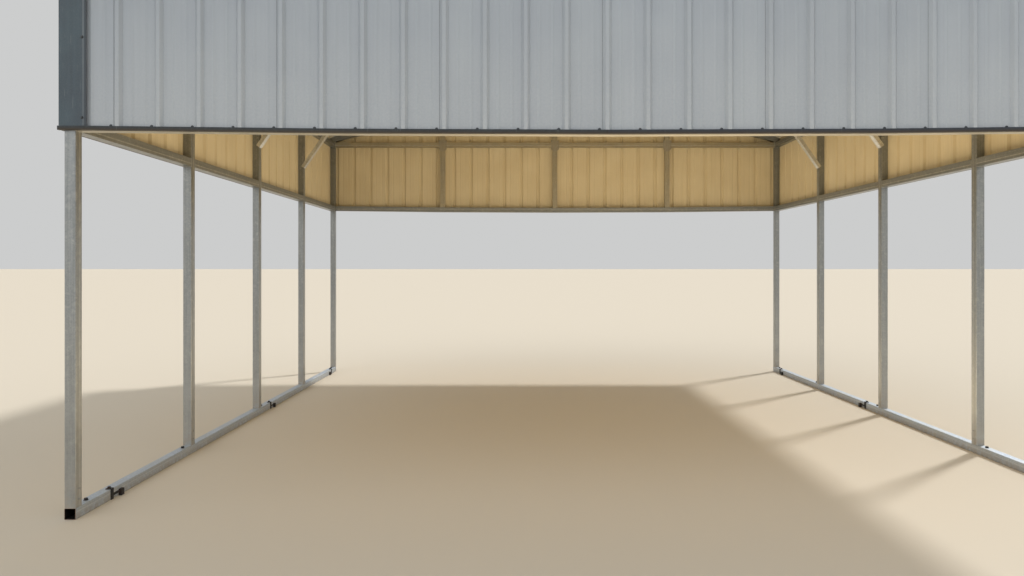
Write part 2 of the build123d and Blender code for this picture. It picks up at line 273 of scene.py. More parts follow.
    # Crystals differ in gloss, stains and dirt are matt.
    gloss = add(
        tree, "ShaderNodeMapRange", {0: crystal, 1: 0.0, 2: 1.0, 3: dull - 0.04, 4: dull + 0.06}
    )
    gloss = add(
        tree,
        "ShaderNodeMath",
        {0: stain, 1: 0.25, 2: gloss},
        operation="MULTIPLY_ADD",
        use_clamp=True,
    )
    gloss = add(tree, "ShaderNodeMix", {0: dirt, 2: gloss, 3: 0.92}, data_type="FLOAT")
    metal = add(tree, "ShaderNodeMapRange", {0: dirt, 1: 0.0, 2: 1.0, 3: 0.76, 4: 0.05})
    relief = add(
        tree,
        "ShaderNodeMath",
        {0: crystals.outputs["Distance"], 1: 0.3, 2: marks},
        operation="MULTIPLY_ADD",
    )
    bump = add(tree, "ShaderNodeBump", {"Strength": 0.2, "Distance": 0.0005, "Height": relief})
    steel = add(
        tree,
        "ShaderNodeBsdfPrincipled",
        {"Base Color": colour, "Metallic": metal, "Roughness": gloss, "Normal": bump},
    )
    add(tree, "ShaderNodeOutputMaterial", {"Surface": steel})
    return material


def give_finish(names, material):
    """The CAD pieces of these names show in this material."""
    for name in names:
        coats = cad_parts[name].data.materials
        coats.clear()
        coats.append(material)


# Duller than the posts, and painted bluer as a painted reflection of the open sky. One seam runs
# 41 mm up, and its spacing of 10 m is more than the carport's height, so that it doesn't repeat.
sky_tinted_rail_zinc = galvanised(
    "galvanised rail tube",
    (9, 420, 9),
    dark="#97a4b3",
    light="#bac6d3",
    dull=0.52,
    dirt_height=0.06,
    seam=((0, 0, 1), 10, 0.041),
    cut_ends=True,
)
give_finish(["base_rail_left", "base_rail_right"], sky_tinted_rail_zinc)


# Anchor pins
# Round steel pins driven through the rails into the ground beside some posts. Only their dark
# hex heads show, each on a plain washer.


def piece_tree(name, sizes):
    """A geometry tree with these sizes as its named inputs, and what its input node gives."""
    tree = bpy.data.node_groups.new(name, "GeometryNodeTree")
    for label, kind, default in (
        ("Geometry", "Geometry", None),
        *sizes,
        ("Finish", "Material", None),
    ):
        kind = f"NodeSocket{kind}"
        socket = tree.interface.new_socket(label, in_out="INPUT", socket_type=kind)
        if default is not None:
            socket.default_value = default
    tree.interface.new_socket("Geometry", in_out="OUTPUT", socket_type="NodeSocketGeometry")
    return tree, add(tree, "NodeGroupInput").outputs


head_tree, given = piece_tree(
    "hex heads",
    (
        ("Head Width", "Float", 0.008),
        ("Head Height", "Float", 0.0042),
        ("Washer Width", "Float", 0.0145),
        ("Washer Height", "Float", 0.0022),
        ("Seed", "Int", 7),
    ),
)
corner_reach = add(
    head_tree,
    "ShaderNodeMath",
    {0: given["Head Width"], 1: 0.5 / math.cos(math.radians(30))},
    operation="MULTIPLY",
)
head = add(
    head_tree,
    "GeometryNodeMeshCylinder",
    {"Vertices": 6, "Radius": corner_reach, "Depth": given["Head Height"]},
)
lift = add(
    head_tree,
    "ShaderNodeMath",
    {0: given["Head Height"], 1: 0.5, 2: given["Washer Height"]},
    operation="MULTIPLY_ADD",
)
lift = add(head_tree, "ShaderNodeCombineXYZ", {"Z": lift})
head = add(head_tree, "GeometryNodeTransform", {"Geometry": head, "Translation": lift})
rim = add(head_tree, "ShaderNodeMath", {0: given["Washer Width"], 1: 0.5}, operation="MULTIPLY")
washer_taper = 0.78
rim_top = add(head_tree, "ShaderNodeMath", {0: rim, 1: washer_taper}, operation="MULTIPLY")
washer = add(
    head_tree,
    "GeometryNodeMeshCone",
    {"Vertices": 12, "Radius Top": rim_top, "Radius Bottom": rim, "Depth": given["Washer Height"]},
)
screw = add(head_tree, "GeometryNodeJoinGeometry")
for part in (head, washer):
    head_tree.links.new(part.outputs[0], screw.inputs[0])
outwards = add(
    head_tree, "GeometryNodeInputNamedAttribute", {"Name": "outwards"}, data_type="FLOAT_VECTOR"
)
upright = add(head_tree, "FunctionNodeAlignRotationToVector", {"Vector": outwards}, axis="Z")
turn = add(
    head_tree,
    "FunctionNodeRandomValue",
    {2: 0.0, 3: math.radians(60), "Seed": given["Seed"]},
    data_type="FLOAT",
)
spin = add(head_tree, "FunctionNodeAxisAngleToRotation", {"Axis": (0, 0, 1), "Angle": turn})
stance = add(
    head_tree, "FunctionNodeRotateRotation", {0: upright, 1: spin}, rotation_space="LOCAL"
)
placed = add(
    head_tree,
    "GeometryNodeInstanceOnPoints",
    {"Points": given["Geometry"], "Instance": screw, "Rotation": stance},
)
real = add(head_tree, "GeometryNodeRealizeInstances", {0: placed})
coated = add(head_tree, "GeometryNodeSetMaterial", {"Geometry": real, "Material": given["Finish"]})
add(head_tree, "NodeGroupOutput", {0: coated})


def set_pieces(name, tree, mesh, sizes):
    """Runs a tree on a mesh and keeps the outcome as a plain piece that rides on the frame."""
    guide = bpy.data.objects.new(name + ".guide", mesh)
    bpy.context.scene.collection.objects.link(guide)
    modifier = guide.modifiers.new("pieces", "NODES")
    modifier.node_group = tree
    for item in tree.interface.items_tree:
        if item.in_out == "INPUT" and item.name in sizes:
            modifier[item.identifier] = sizes[item.name]
    bpy.context.view_layer.update()
    seen = guide.evaluated_get(bpy.context.evaluated_depsgraph_get())
    piece_mesh = bpy.data.meshes.new_from_object(seen)
    piece_mesh.name = name
    bpy.data.objects.remove(guide)
    piece = bpy.data.objects.new(name, piece_mesh)
    bpy.context.scene.collection.objects.link(piece)
    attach(piece, "root")


def drive_screws(name, places, sizes):
    """Hex heads at places, each a point and the way that its head faces."""
    mesh = bpy.data.meshes.new(name + ".places")
    mesh.from_pydata([point for point, _ in places], [], [])
    facing = mesh.attributes.new("outwards", "FLOAT_VECTOR", "POINT")
    facing.data.foreach_set("vector", [part for _, way in places for part in way])
    set_pieces(name, head_tree, mesh, sizes)


def weathered_steel(name, colour, worn, rough, metal, rust=0.35):
    """Coated steel: the coat is rubbed in specks about 3 mm across, duller and of the worn
    colour, and rust shows in patches a hand across, so on one head and not on the next."""
    material = blank_material(name)
    tree = material.node_tree
    place = add(tree, "ShaderNodeTexCoord").outputs["Object"]
    specks = add(tree, "ShaderNodeTexNoise", {"Vector": place, "Scale": 1000 / 3, "Detail": 3.0})
    patches = add(tree, "ShaderNodeTexNoise", {"Vector": place, "Scale": 1000 / 90, "Detail": 2.0})
    rubbed = add(tree, "ShaderNodeMapRange", {0: specks, 1: 0.45, 2: 0.72, 3: 0.0, 4: 0.8})
    shade = add(tree, "ShaderNodeMix", {0: rubbed, 6: colour, 7: worn}, data_type="RGBA")
    rusty = add(tree, "ShaderNodeMapRange", {0: patches, 1: 0.52, 2: 0.68, 3: 0.0, 4: rust})
    shade = add(tree, "ShaderNodeMix", {0: rusty, 6: shade, 7: "#6b452c"}, data_type="RGBA")
    gloss = add(tree, "ShaderNodeMapRange", {0: specks, 1: 0.3, 2: 0.7, 3: rough, 4: rough + 0.25})
    bump = add(tree, "ShaderNodeBump", {"Strength": 0.4, "Distance": 0.0005, "Height": specks})
    coat = add(
        tree,
        "ShaderNodeBsdfPrincipled",
        {"Base Color": shade, "Roughness": gloss, "Metallic": metal, "Normal": bump},
    )
    add(tree, "ShaderNodeOutputMaterial", {"Surface": coat})
    return material


# Black oxide leaves dark steel with a soft shine, rubbed greyer in specks.
black_bolt = weathered_steel("black oxide bolt steel", "#232426", "#4a4a4b", 0.45, 0.5)
pin_head = {
    "Head Width": 0.019,
    "Head Height": 0.010,
    "Washer Width": 0.030,
    "Washer Height": 0.002,
    "Finish": black_bolt,
}
pin_places = (-2.89, -1.62, 0.11, 1.62, 2.89)
pins = [((side * rail_middle, y, rail_top), (0, 0, 1)) for side in (-1, 1) for y in pin_places]
drive_screws("anchor_pin_heads", pins, pin_head)


# Ground anchors
# Flat straps folded over the rails' inner edge with a short arm to the rod's head, forged and
# welded, dipped in black paint that has gone dull and picked up soil. One bolt holds each.

# Thick dipped paint: black and nearly matt, with duller worn specks.
black_paint = weathered_steel("black dipped paint", "#161617", "#2c2b2a", 0.55, 0.1, rust=0.2)
give_finish(["ground_anchors"], black_paint)
strap_bolt = {
    "Head Width": 0.017,
    "Head Height": 0.008,
    "Washer Width": 0.024,
    "Washer Height": 0.0018,
    "Finish": black_bolt,
}
# Each anchor's middle along the rail, and which way from it the arm points. The bolt is the
# other way, a little in over the rail, and stands on the strap.
anchors = ((-2.62125, 1), (0.35, 1), (2.72625, -1))
strap_aside, strap_in, strap_thickness = 0.0475, 0.016, 0.005
bolt_places = []
for side in (-1, 1):
    x, z = side * (rail_inside + strap_in), rail_top + strap_thickness
    for middle, arm in anchors:
        bolt_places.append(((x, middle - arm * strap_aside, z), (0, 0, 1)))
drive_screws("anchor_strap_bolts", bolt_places, strap_bolt)


# Posts
# Ten lengths of the same square tube stood over sleeves on the rails, each held there by four
# self-drilling screws, and by four more where the roof bow's leg meets it.

frame_numbers = range(1, 6)
post_boxes = [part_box(f"left_post_{number}") for number in frame_numbers]
frame_places = [(low.y + high.y) / 2 for low, high in post_boxes]
frame_spacing = frame_places[1] - frame_places[0]
tube = post_boxes[0][1].y - post_boxes[0][0].y
half_tube = tube / 2

# The plain tube zinc: mid grey and softly glossy. The seam runs down the side faces, a little
# behind their middle.
seam_aside = 0.010
post_seam = ((0, 1, 0), frame_spacing, seam_aside)
post_zinc = galvanised("galvanised post tube", (9, 9, 420), seam=post_seam)
posts = [f"{side}_post_{number}" for side in ("left", "right") for number in frame_numbers]
give_finish(posts + ["post_sleeves"], post_zinc)

# Zinc plating is brighter and smoother than the dipped zinc round it.
zinc_screw = weathered_steel("zinc plated screw steel", "#9c9d9c", "#c4c3bf", 0.3, 0.85, 0.15)
frame_screw = {
    "Head Width": 0.008,
    "Head Height": 0.0042,
    "Washer Width": 0.0115,
    "Washer Height": 0.0012,
    "Finish": zinc_screw,
}
above_foot = (0.045, 0.105)
from_joint = (-0.100, -0.040, 0.040, 0.100)
tube_screws = []
for name in posts:
    low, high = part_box(name)
    y = (low.y + high.y) / 2
    for reach in above_foot:
        for x, way in ((low.x, -1), (high.x, 1)):
            tube_screws.append(((x, y, low.z + reach), (way, 0, 0)))
    # The skirt covers the outer face at the joint, so its screws are on the inner one.
    x, way = (low.x, -1) if low.x > 0 else (high.x, 1)
    for reach in from_joint:
        tube_screws.append(((x, y, high.z + reach), (way, 0, 0)))


# Roof bows
# Two rafters and two short legs of the tube, cut to mitres and welded into one bow, the bare
# weld and the burnt zinc beside it painted over with zinc-rich silver paint.

# The same tube zinc, its rolling marks along the rafters.
bow_zinc = galvanised("galvanised bow tube", (420, 9, 420), seam=post_seam)
give_finish([f"roof_bow_{number}" for number in frame_numbers], bow_zinc)

weld_tree, given = piece_tree(
    "weld beads",
    (("Bead Radius", "Float", 0.0035), ("Ripple Pitch", "Float", 0.0034), ("Seed", "Int", 3)),
)
run = add(weld_tree, "GeometryNodeMeshToCurve", {0: given["Geometry"]})
run = add(
    weld_tree,
    "GeometryNodeResampleCurve",
    {"Curve": run, "Length": given["Ripple Pitch"]},
    mode="LENGTH",
)
ripple = add(
    weld_tree,
    "GeometryNodeMeshUVSphere",
    {"Segments": 6, "Rings": 4, "Radius": given["Bead Radius"]},
)
size = add(
    weld_tree,
    "FunctionNodeRandomValue",
    {2: 0.8, 3: 1.15, "Seed": given["Seed"]},
    data_type="FLOAT",
)
placed = add(
    weld_tree, "GeometryNodeInstanceOnPoints", {"Points": run, "Instance": ripple, "Scale": size}
)
real = add(weld_tree, "GeometryNodeRealizeInstances", {0: placed})
smooth = add(weld_tree, "GeometryNodeSetShadeSmooth", {0: real})
coated = add(
    weld_tree, "GeometryNodeSetMaterial", {"Geometry": smooth, "Material": given["Finish"]}
)
add(weld_tree, "NodeGroupOutput", {0: coated})

half_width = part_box("roof_bow_1")[1].x
post_inside = half_width - tube
ridge_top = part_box("roof_bow_1")[1].z
pitch = 0.25
rafter_depth = tube * math.sqrt(1 + pitch**2)
eave_under = ridge_top - rafter_depth - half_width * pitch
ridge_under = ridge_top - rafter_depth
weld_runs = []
for y in frame_places:
    for side in (-1, 1):
        # The mitre between leg and rafter: both faces, and the inner corner.
        outer_x, outer_z = side * half_width, eave_under + rafter_depth
        inner_x, inner_z = side * post_inside, eave_under + tube * pitch
        for near in (y - half_tube, y + half_tube):
            weld_runs.append(((outer_x, near, outer_z), (inner_x, near, inner_z)))
        weld_runs.append(((inner_x, y - half_tube, inner_z), (inner_x, y + half_tube, inner_z)))
    # The mitre at the ridge: both faces, and below.
    for near in (y - half_tube, y + half_tube):
        weld_runs.append(((0, near, ridge_under), (0, near, ridge_top)))
    weld_runs.append(((0, y - half_tube, ridge_under), (0, y + half_tube, ridge_under)))


# Knee braces and peak braces
# Short channels folded from bright galvanised strip. They straddle the post and the rafter,
# and two screws go through each flange at each end.

# Newer, whiter zinc than the tubes', with its marks along the brace.
brace_zinc = galvanised(
    "bright galvanised brace strip", (300, 14, 300), dark="#c3c3bf", light="#e6e5df", dull=0.38
)
give_finish(["knee_braces", "peak_braces"], brace_zinc)

# A knee brace's screws are up the post from its foot and along the rafter from where the two
# meet, a peak brace's are in from its ends. Insets are how far the screws sit into the tube.
brace_tangent = math.tan(math.radians(55))
knee_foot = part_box("knee_braces")[0].z
knee_reaches, knee_inset, foot_cut, rafter_share = (0.045, 0.085), 0.018, 0.045, 0.9
meeting = post_inside - (eave_under - knee_foot) / (brace_tangent - pitch)
knee_spots = []
for reach in knee_reaches:
    knee_spots.append((post_inside + knee_inset, knee_foot + foot_cut + reach))
    x = meeting + rafter_share * reach
    knee_spots.append((x, eave_under + (half_width - x) * pitch + knee_inset))
peak_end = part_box("peak_braces")[1].x
peak_reaches, peak_inset = (0.030, 0.075), 0.014
peak_spots = []
for reach in peak_reaches:
    x = peak_end - reach
    peak_spots.append((x, eave_under + (half_width - x) * pitch + peak_inset))
brace_thickness = 0.002
flange_out = half_tube + brace_thickness
for y in frame_places[1:-1]:
    for spots in (knee_spots, peak_spots):
        for side in (-1, 1):
            for face in (-1, 1):
                for x, z in spots:
                    tube_screws.append(((side * x, y + face * flange_out, z), (0, face, 0)))


# Girts and gable framing
# More of the tube, cut square between the posts and fillet welded: a girt under the skirt and
# one at the eave on each side, and a girt, a header and three uprights in each gable.

side_girt_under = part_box("side_girts")[0].z
header_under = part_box("gable_headers")[0].z
seam_up = 0.022
girt_seam = ((0, 0, 1), header_under - side_girt_under, header_under + seam_up)
# The same tube zinc, its marks along each run. On the front girt, the headers and the uprights it
# is painted paler and warm, as painted warm bounce light from the ground below.
side_girt_zinc = galvanised("galvanised girt tube", (9, 420, 9), seam=girt_seam)
back_girt_zinc = galvanised("galvanised gable girt tube", (420, 9, 9), seam=girt_seam)
warm_lit_header_zinc = galvanised(
    "dusty galvanised header tube", (420, 9, 9), dark="#a9a28f", light="#b6af9c", seam=girt_seam
)
warm_lit_upright_zinc = galvanised(
    "dusty galvanised upright tube", (9, 9, 420), dark="#a9a28f", light="#b6af9c"
)
give_finish(["side_girts", "eave_girts"], side_girt_zinc)
give_finish(["back_girt"], back_girt_zinc)
give_finish(["front_girt", "gable_headers"], warm_lit_header_zinc)
give_finish(["gable_uprights"], warm_lit_upright_zinc)

# Fillets up each end's inner corner and along below it, stopped short of the outer corners.
stop = 0.004
for under in (side_girt_under, header_under):
    for near, far in zip(frame_places[:-1], frame_places[1:]):
        for side in (-1, 1):
            for y in (near + half_tube, far - half_tube):
                x_in, x_out = side * post_inside, side * (half_width - stop)
                weld_runs.append(((x_in, y, under + stop), (x_in, y, under + tube - stop)))
                weld_runs.append(((x_in, y, under), (x_out, y, under)))
gable_inside = frame_places[-1] - half_tube
gable_outside = frame_places[-1] + half_tube
upright_places = (-1.524, 0.0, 1.524)
for face in (-1, 1):
    y, y_out = face * gable_inside, face * (gable_outside - stop)
    for side in (-1, 1):
        x = side * post_inside
        for under in (side_girt_under, header_under):
            weld_runs.append(((x, y, under + stop), (x, y, under + tube - stop)))
            weld_runs.append(((x, y, under), (x, y_out, under)))
    for upright_x in upright_places:
        for x in (upright_x - half_tube, upright_x + half_tube):
            weld_runs.append(((x, y, header_under), (x, y, header_under + tube)))

weld_mesh = bpy.data.meshes.new("weld runs")
weld_mesh.from_pydata(
    [point for run in weld_runs for point in run],
    [(2 * i, 2 * i + 1) for i in range(len(weld_runs))],
    [],
)
# Sprayed zinc paint on the weld: pale grey and dull, with a little rust coming through.
zinc_paint = weathered_steel("zinc rich cold spray", "#a8aaa9", "#8b8d8c", 0.5, 0.6, rust=0.25)
bead = {"Bead Radius": 0.003, "Finish": zinc_paint}
set_pieces("frame_welds", weld_tree, weld_mesh, bead)


# Splice plates
# A flat galvanised plate over each crossing of an upright and the header, its lower corners
# clipped, held by six screws on the inner face.

plate_half, plate_height, plate_thickness, plate_clip = 0.054, 0.150, 0.003, 0.030
# More than half of the plate is below the header's middle.
share_below = 0.58
plate_bottom = header_under + half_tube - share_below * plate_height
plate_top = plate_bottom + plate_height
outline = [
    (-plate_half, plate_top),
    (plate_half, plate_top),
    (plate_half, plate_bottom + plate_clip),
    (plate_half - plate_clip, plate_bottom),
    (-plate_half + plate_clip, plate_bottom),
    (-plate_half, plate_bottom + plate_clip),
]
count = len(outline)
# Two pairs of screws, at the top and on the header, then two more on the upright below.
pair_half, below_top, below_middle, above_bottom = 0.036, 0.025, 0.012, (0.018, 0.045)
pair_heights = (plate_top - below_top, header_under + half_tube - below_middle)
plate_screws = [(x, z) for x in (-pair_half, pair_half) for z in pair_heights]
plate_screws += [(0.0, plate_bottom + reach) for reach in above_bottom]
plate_points, plate_faces = [], []
for face in (-1, 1):
    for upright_x in upright_places:
        inner_y = face * (gable_inside - plate_thickness)
        outer_y = face * gable_inside
        start = len(plate_points)
        for y in (inner_y, outer_y):
            plate_points += [(upright_x + x, y, z) for x, z in outline]
        faces = [
            [start + i for i in range(count)],
            [start + count + i for i in reversed(range(count))],
        ]
        for i in range(count):
            this, following = start + i, start + (i + 1) % count
            faces.append([this, this + count, following + count, following])
        plate_faces += faces if face == -1 else [list(reversed(f)) for f in faces]
        for x, z in plate_screws:
            tube_screws.append(((upright_x + x, inner_y, z), (0, -face, 0)))
plate_mesh = bpy.data.meshes.new("splice_plates")
plate_mesh.from_pydata(plate_points, [], plate_faces)
plate_mesh.update()
plates = bpy.data.objects.new("splice_plates", plate_mesh)
bpy.context.scene.collection.objects.link(plates)
# Flat strip painted paler and warm with the same painted warm bounce light, its rolling marks
# upright.
warm_lit_plate_zinc = galvanised("galvanised plate strip", (14, 14, 300), dark="#a19c8e", light="#b0aa9c")
plate_mesh.materials.append(warm_lit_plate_zinc)
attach(plates, "root")
drive_screws("frame_screws", tube_screws, frame_screw)


# Roof channels
# Hat sections roll-formed from thin bright galvanised strip, laid across the bows under the
# roof sheets. Handled with oily rolls, they keep a fresher shine than the tubes.

# Thin strip zinc: paler and glossier than the tubes', with long marks.
channel_zinc = galvanised(
    "bright galvanised hat strip", (14, 600, 14), dark="#aaadae", light="#c0c2c1", dull=0.34
)
give_finish(["roof_channels"], channel_zinc)


# Ribbed sheets
# Thin steel roll-formed with ribs 229 mm apart, galvanised, baked with pale grey paint outside
# and a thin beige backing coat inside. Each sheet covers 914 mm and laps over one rib.

rib_pitch = 0.2286
sheet_cover = 4 * rib_pitch
# From the middle of the rib to the edge of the sheet that laps over it.
lap_aside = 0.0278


def ribbed_sheet(name, outward, across, down, foot):
    """Baked paint, smooth with a soft shine, that shows clouds and streaks, and is paler towards
    the foot with painted ground-bounce light. Pale grey is on the outward side, the beige coat on
    the inward one, and bare zinc on cut edges. Foot is how far down the lower edge is."""
    material = blank_material(name)
    tree = material.node_tree
    place = add(tree, "ShaderNodeTexCoord").outputs["Object"]
    normal = add(tree, "ShaderNodeNewGeometry").outputs["True Normal"]
    facing = add(tree, "ShaderNodeVectorMath", {0: normal, 1: outward}, operation="DOT_PRODUCT")
    aside = add(tree, "ShaderNodeVectorMath", {0: place, 1: across}, operation="DOT_PRODUCT")
    below = add(tree, "ShaderNodeVectorMath", {0: place, 1: down}, operation="DOT_PRODUCT")

    # Each sheet is from its own spot of the coil: its grey differs by a shade.
    sheets = add(
        tree,
        "ShaderNodeMath",
        {0: aside, 1: 1 / sheet_cover, 2: lap_aside / sheet_cover},
        operation="MULTIPLY_ADD",
    )
    number = add(tree, "ShaderNodeMath", {0: sheets}, operation="FLOOR")
    batch = add(tree, "ShaderNodeTexWhiteNoise", {"W": number}, noise_dimensions="1D")

    # The lapping edge: a dark line about 2 mm wide beside every fourth rib.
    lap_share = 0.0024
    lap = add(tree, "ShaderNodeMath", {0: sheets}, operation="FRACT")
    lap = add(tree, "ShaderNodeMath", {0: lap, 1: lap_share}, operation="LESS_THAN")

    # Weathering: soft clouds a third of a metre across and rain streaks down the ribs.
    clouds = add(tree, "ShaderNodeTexNoise", {"Vector": place, "Scale": 1000 / 330, "Detail": 4.0})
    flow = add(tree, "ShaderNodeCombineXYZ", {"X": aside, "Y": below})
    flow = add(tree, "ShaderNodeMapping", {"Vector": flow, "Scale": (1000 / 22, 1000 / 900, 1)})
    streaks = add(
        tree,
        "ShaderNodeTexNoise",
        {"Vector": flow, "Scale": 1.0, "Detail": 4.0, "Roughness": 0.6},
        noise_dimensions="2D",
    )
    grain = add(tree, "ShaderNodeTexNoise", {"Vector": place, "Scale": 1000 / 12, "Detail": 3.0})

    # Outside paint, paler towards the foot: painted ground-bounce light, speckled with the fine
    # grain.
    bounce_glow_depth = 0.75
    tone = add(tree, "ShaderNodeMapRange", {0: clouds, 1: 0.35, 2: 0.65, 3: 0.0, 4: 1.0})
    grey = add(tree, "ShaderNodeMix", {0: tone, 6: "#9da6b1", 7: "#a2abb5"}, data_type="RGBA")
    shade = add(tree, "ShaderNodeMapRange", {0: batch, 1: 0.0, 2: 1.0, 3: 0.965, 4: 1.02})
    wash = add(tree, "ShaderNodeMapRange", {0: streaks, 1: 0.3, 2: 0.7, 3: 0.975, 4: 1.015})
    shade = add(tree, "ShaderNodeMath", {0: shade, 1: wash}, operation="MULTIPLY")
    grey = add(
        tree, "ShaderNodeMix", {0: 1.0, 6: grey, 7: shade}, data_type="RGBA", blend_type="MULTIPLY"
    )
    painted_bounce_light = add(
        tree, "ShaderNodeMapRange", {0: below, 1: foot - bounce_glow_depth, 2: foot, 3: 0.0, 4: 0.55}
    )
    painted_bounce_light = add(tree, "ShaderNodeMath", {0: painted_bounce_light, 1: grain}, operation="MULTIPLY")
    grey = add(tree, "ShaderNodeMix", {0: painted_bounce_light, 6: grey, 7: "#c3c5c4"}, data_type="RGBA")
    grey = add(tree, "ShaderNodeMix", {0: lap, 6: grey, 7: "#6f7478"}, data_type="RGBA")

    # Inside coat: thin, so it is streaky and shows the rolls' marks.
    beige = add(tree, "ShaderNodeMix", {0: tone, 6: "#d1c3a3", 7: "#d7caab"}, data_type="RGBA")
    thin = add(tree, "ShaderNodeMapRange", {0: streaks, 1: 0.3, 2: 0.7, 3: 0.97, 4: 1.02})
    beige = add(
        tree, "ShaderNodeMix", {0: 1.0, 6: beige, 7: thin}, data_type="RGBA", blend_type="MULTIPLY"
    )

    # What faces neither way is a cut edge.
    inside = add(tree, "ShaderNodeMath", {0: facing, 1: -0.05}, operation="LESS_THAN")
    outside = add(tree, "ShaderNodeMath", {0: facing, 1: 0.05}, operation="GREATER_THAN")
    colour = add(tree, "ShaderNodeMix", {0: inside, 6: "#8d9193", 7: beige}, data_type="RGBA")
    colour = add(tree, "ShaderNodeMix", {0: outside, 6: colour, 7: grey}, data_type="RGBA")

    gloss = add(tree, "ShaderNodeMapRange", {0: clouds, 1: 0.3, 2: 0.7, 3: 0.38, 4: 0.52})
    gloss = add(
        tree,
        "ShaderNodeMath",
        {0: inside, 1: 0.14, 2: gloss},
        operation="MULTIPLY_ADD",
        use_clamp=True,
    )
    # Oil canning: the flat pans are not quite flat, a millimetre or so over a hand's width.
    relief = add(tree, "ShaderNodeMath", {0: grain, 1: 0.02, 2: clouds}, operation="MULTIPLY_ADD")
    relief = add(tree, "ShaderNodeMath", {0: lap, 1: 0.1, 2: relief}, operation="MULTIPLY_ADD")
    bump = add(tree, "ShaderNodeBump", {"Strength": 0.5, "Distance": 0.006, "Height": relief})
    coat = add(
        tree,
        "ShaderNodeBsdfPrincipled",
        {"Base Color": colour, "Roughness": gloss, "Normal": bump},
    )
    add(tree, "ShaderNodeOutputMaterial", {"Surface": coat})
    return material


slope = math.atan(pitch)
off_roof = {side: Vector((side * math.sin(slope), 0, math.cos(slope))) for side in (-1, 1)}
down_roof = {side: Vector((side * math.cos(slope), 0, -math.sin(slope))) for side in (-1, 1)}
roof_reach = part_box("right_roof_sheet")[1].x
skirt_foot = -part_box("right_side_sheet")[0].z
roof_foot = roof_reach / math.cos(slope)
for node, outward, across, down, foot in (
    ("left_side_sheet", (-1, 0, 0), (0, 1, 0), (0, 0, -1), skirt_foot),
    ("right_side_sheet", (1, 0, 0), (0, 1, 0), (0, 0, -1), skirt_foot),
    ("front_gable_sheet", (0, -1, 0), (1, 0, 0), (0, 0, -1), skirt_foot),
    ("back_gable_sheet", (0, 1, 0), (1, 0, 0), (0, 0, -1), skirt_foot),
    ("left_roof_sheet", off_roof[-1], (0, 1, 0), down_roof[-1], roof_foot),
    ("right_roof_sheet", off_roof[1], (0, 1, 0), down_roof[1], roof_foot),
):
    give_finish([node], ribbed_sheet(f"baked paint {node}", outward, across, down, foot))

# Self-drilling screws with sealing washers, painted dark, one beside each rib at each support.
# Their paint is a shiny slate, rubbed greyer by the driver.
painted_screw = weathered_steel("dark painted screw heads", "#2f3439", "#4b5359", 0.4, 0.0, 0.1)
sheet_screw = {
    "Head Width": 0.009,
    "Head Height": 0.0046,
    "Washer Width": 0.0175,
    "Washer Height": 0.0026,
    "Finish": painted_screw,
}
wall_ribs, roof_ribs = range(-13, 14), range(-14, 14)
screw_aside, screw_from_lip = 0.043, 0.005
# No screws this near to the corners, where the corner trims' own ones are.
corner_keep = 0.17
sheet_thickness = 0.0005
lip_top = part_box("right_bottom_trim")[1].z
girt_sag = side_girt_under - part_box("front_girt")[0].z
half_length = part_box("right_side_sheet")[1].y


def girt_drop(x):
    """How far the long gable girts hang at a place across the width."""
    return girt_sag * max(0.0, 1 - (x / post_inside) ** 2)


gable_screws = []
for face in (-1, 1):
    y = face * (half_length + sheet_thickness)
    for rib in wall_ribs:
        x = rib * rib_pitch + face * screw_aside
        if abs(x) > half_width - corner_keep:
            continue
        rafter = eave_under + (half_width - abs(x)) * pitch + rafter_depth / 2
        for z in (lip_top + screw_from_lip - girt_drop(x), header_under + half_tube, rafter):
            gable_screws.append(((x, y, z), (0, face, 0)))
drive_screws("gable_sheet_screws", gable_screws, sheet_screw)

side_screws = []
for side in (-1, 1):
    x = side * (half_width + sheet_thickness)
    for rib in wall_ribs:
        y = rib * rib_pitch - side * screw_aside
        if abs(y) > half_length - corner_keep:
            continue
        for z in (lip_top + screw_from_lip, header_under + half_tube):
            side_screws.append(((x, y, z), (side, 0, 0)))
drive_screws("side_sheet_screws", side_screws, sheet_screw)

# On the roof, a row of screws goes into each channel but the top one, where the ridge cap is.
hat_height = 0.0254
first_hat, last_hat, hat_rows = 0.120, 0.260, 4
# The ribs stand this much further out than the bows' own line.
crest_lean = 0.011
slope_length = (roof_reach - crest_lean) / math.cos(slope)
roof_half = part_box("right_roof_sheet")[1].y
end_keep = 0.06
roof_screws = []
for side in (-1, 1):
    for row in range(1, hat_rows):
        reach = first_hat + row * (slope_length - first_hat - last_hat) / (hat_rows - 1)
        for rib in roof_ribs:
            y = rib * rib_pitch + screw_aside
            if abs(y) > roof_half - end_keep:
                continue
            spot = Vector((0, y, ridge_top)) + down_roof[side] * reach
            spot += off_roof[side] * (hat_height + sheet_thickness)
            roof_screws.append((tuple(spot), tuple(off_roof[side])))
drive_screws("roof_sheet_screws", roof_screws, sheet_screw)


# Trims
# Flat steel strip in slate-coloured baked paint, bent on a brake: a ridge cap, rake trims over
# the roof's ends, wide corner trims and a lipped trim under the skirt. Edges are hemmed.


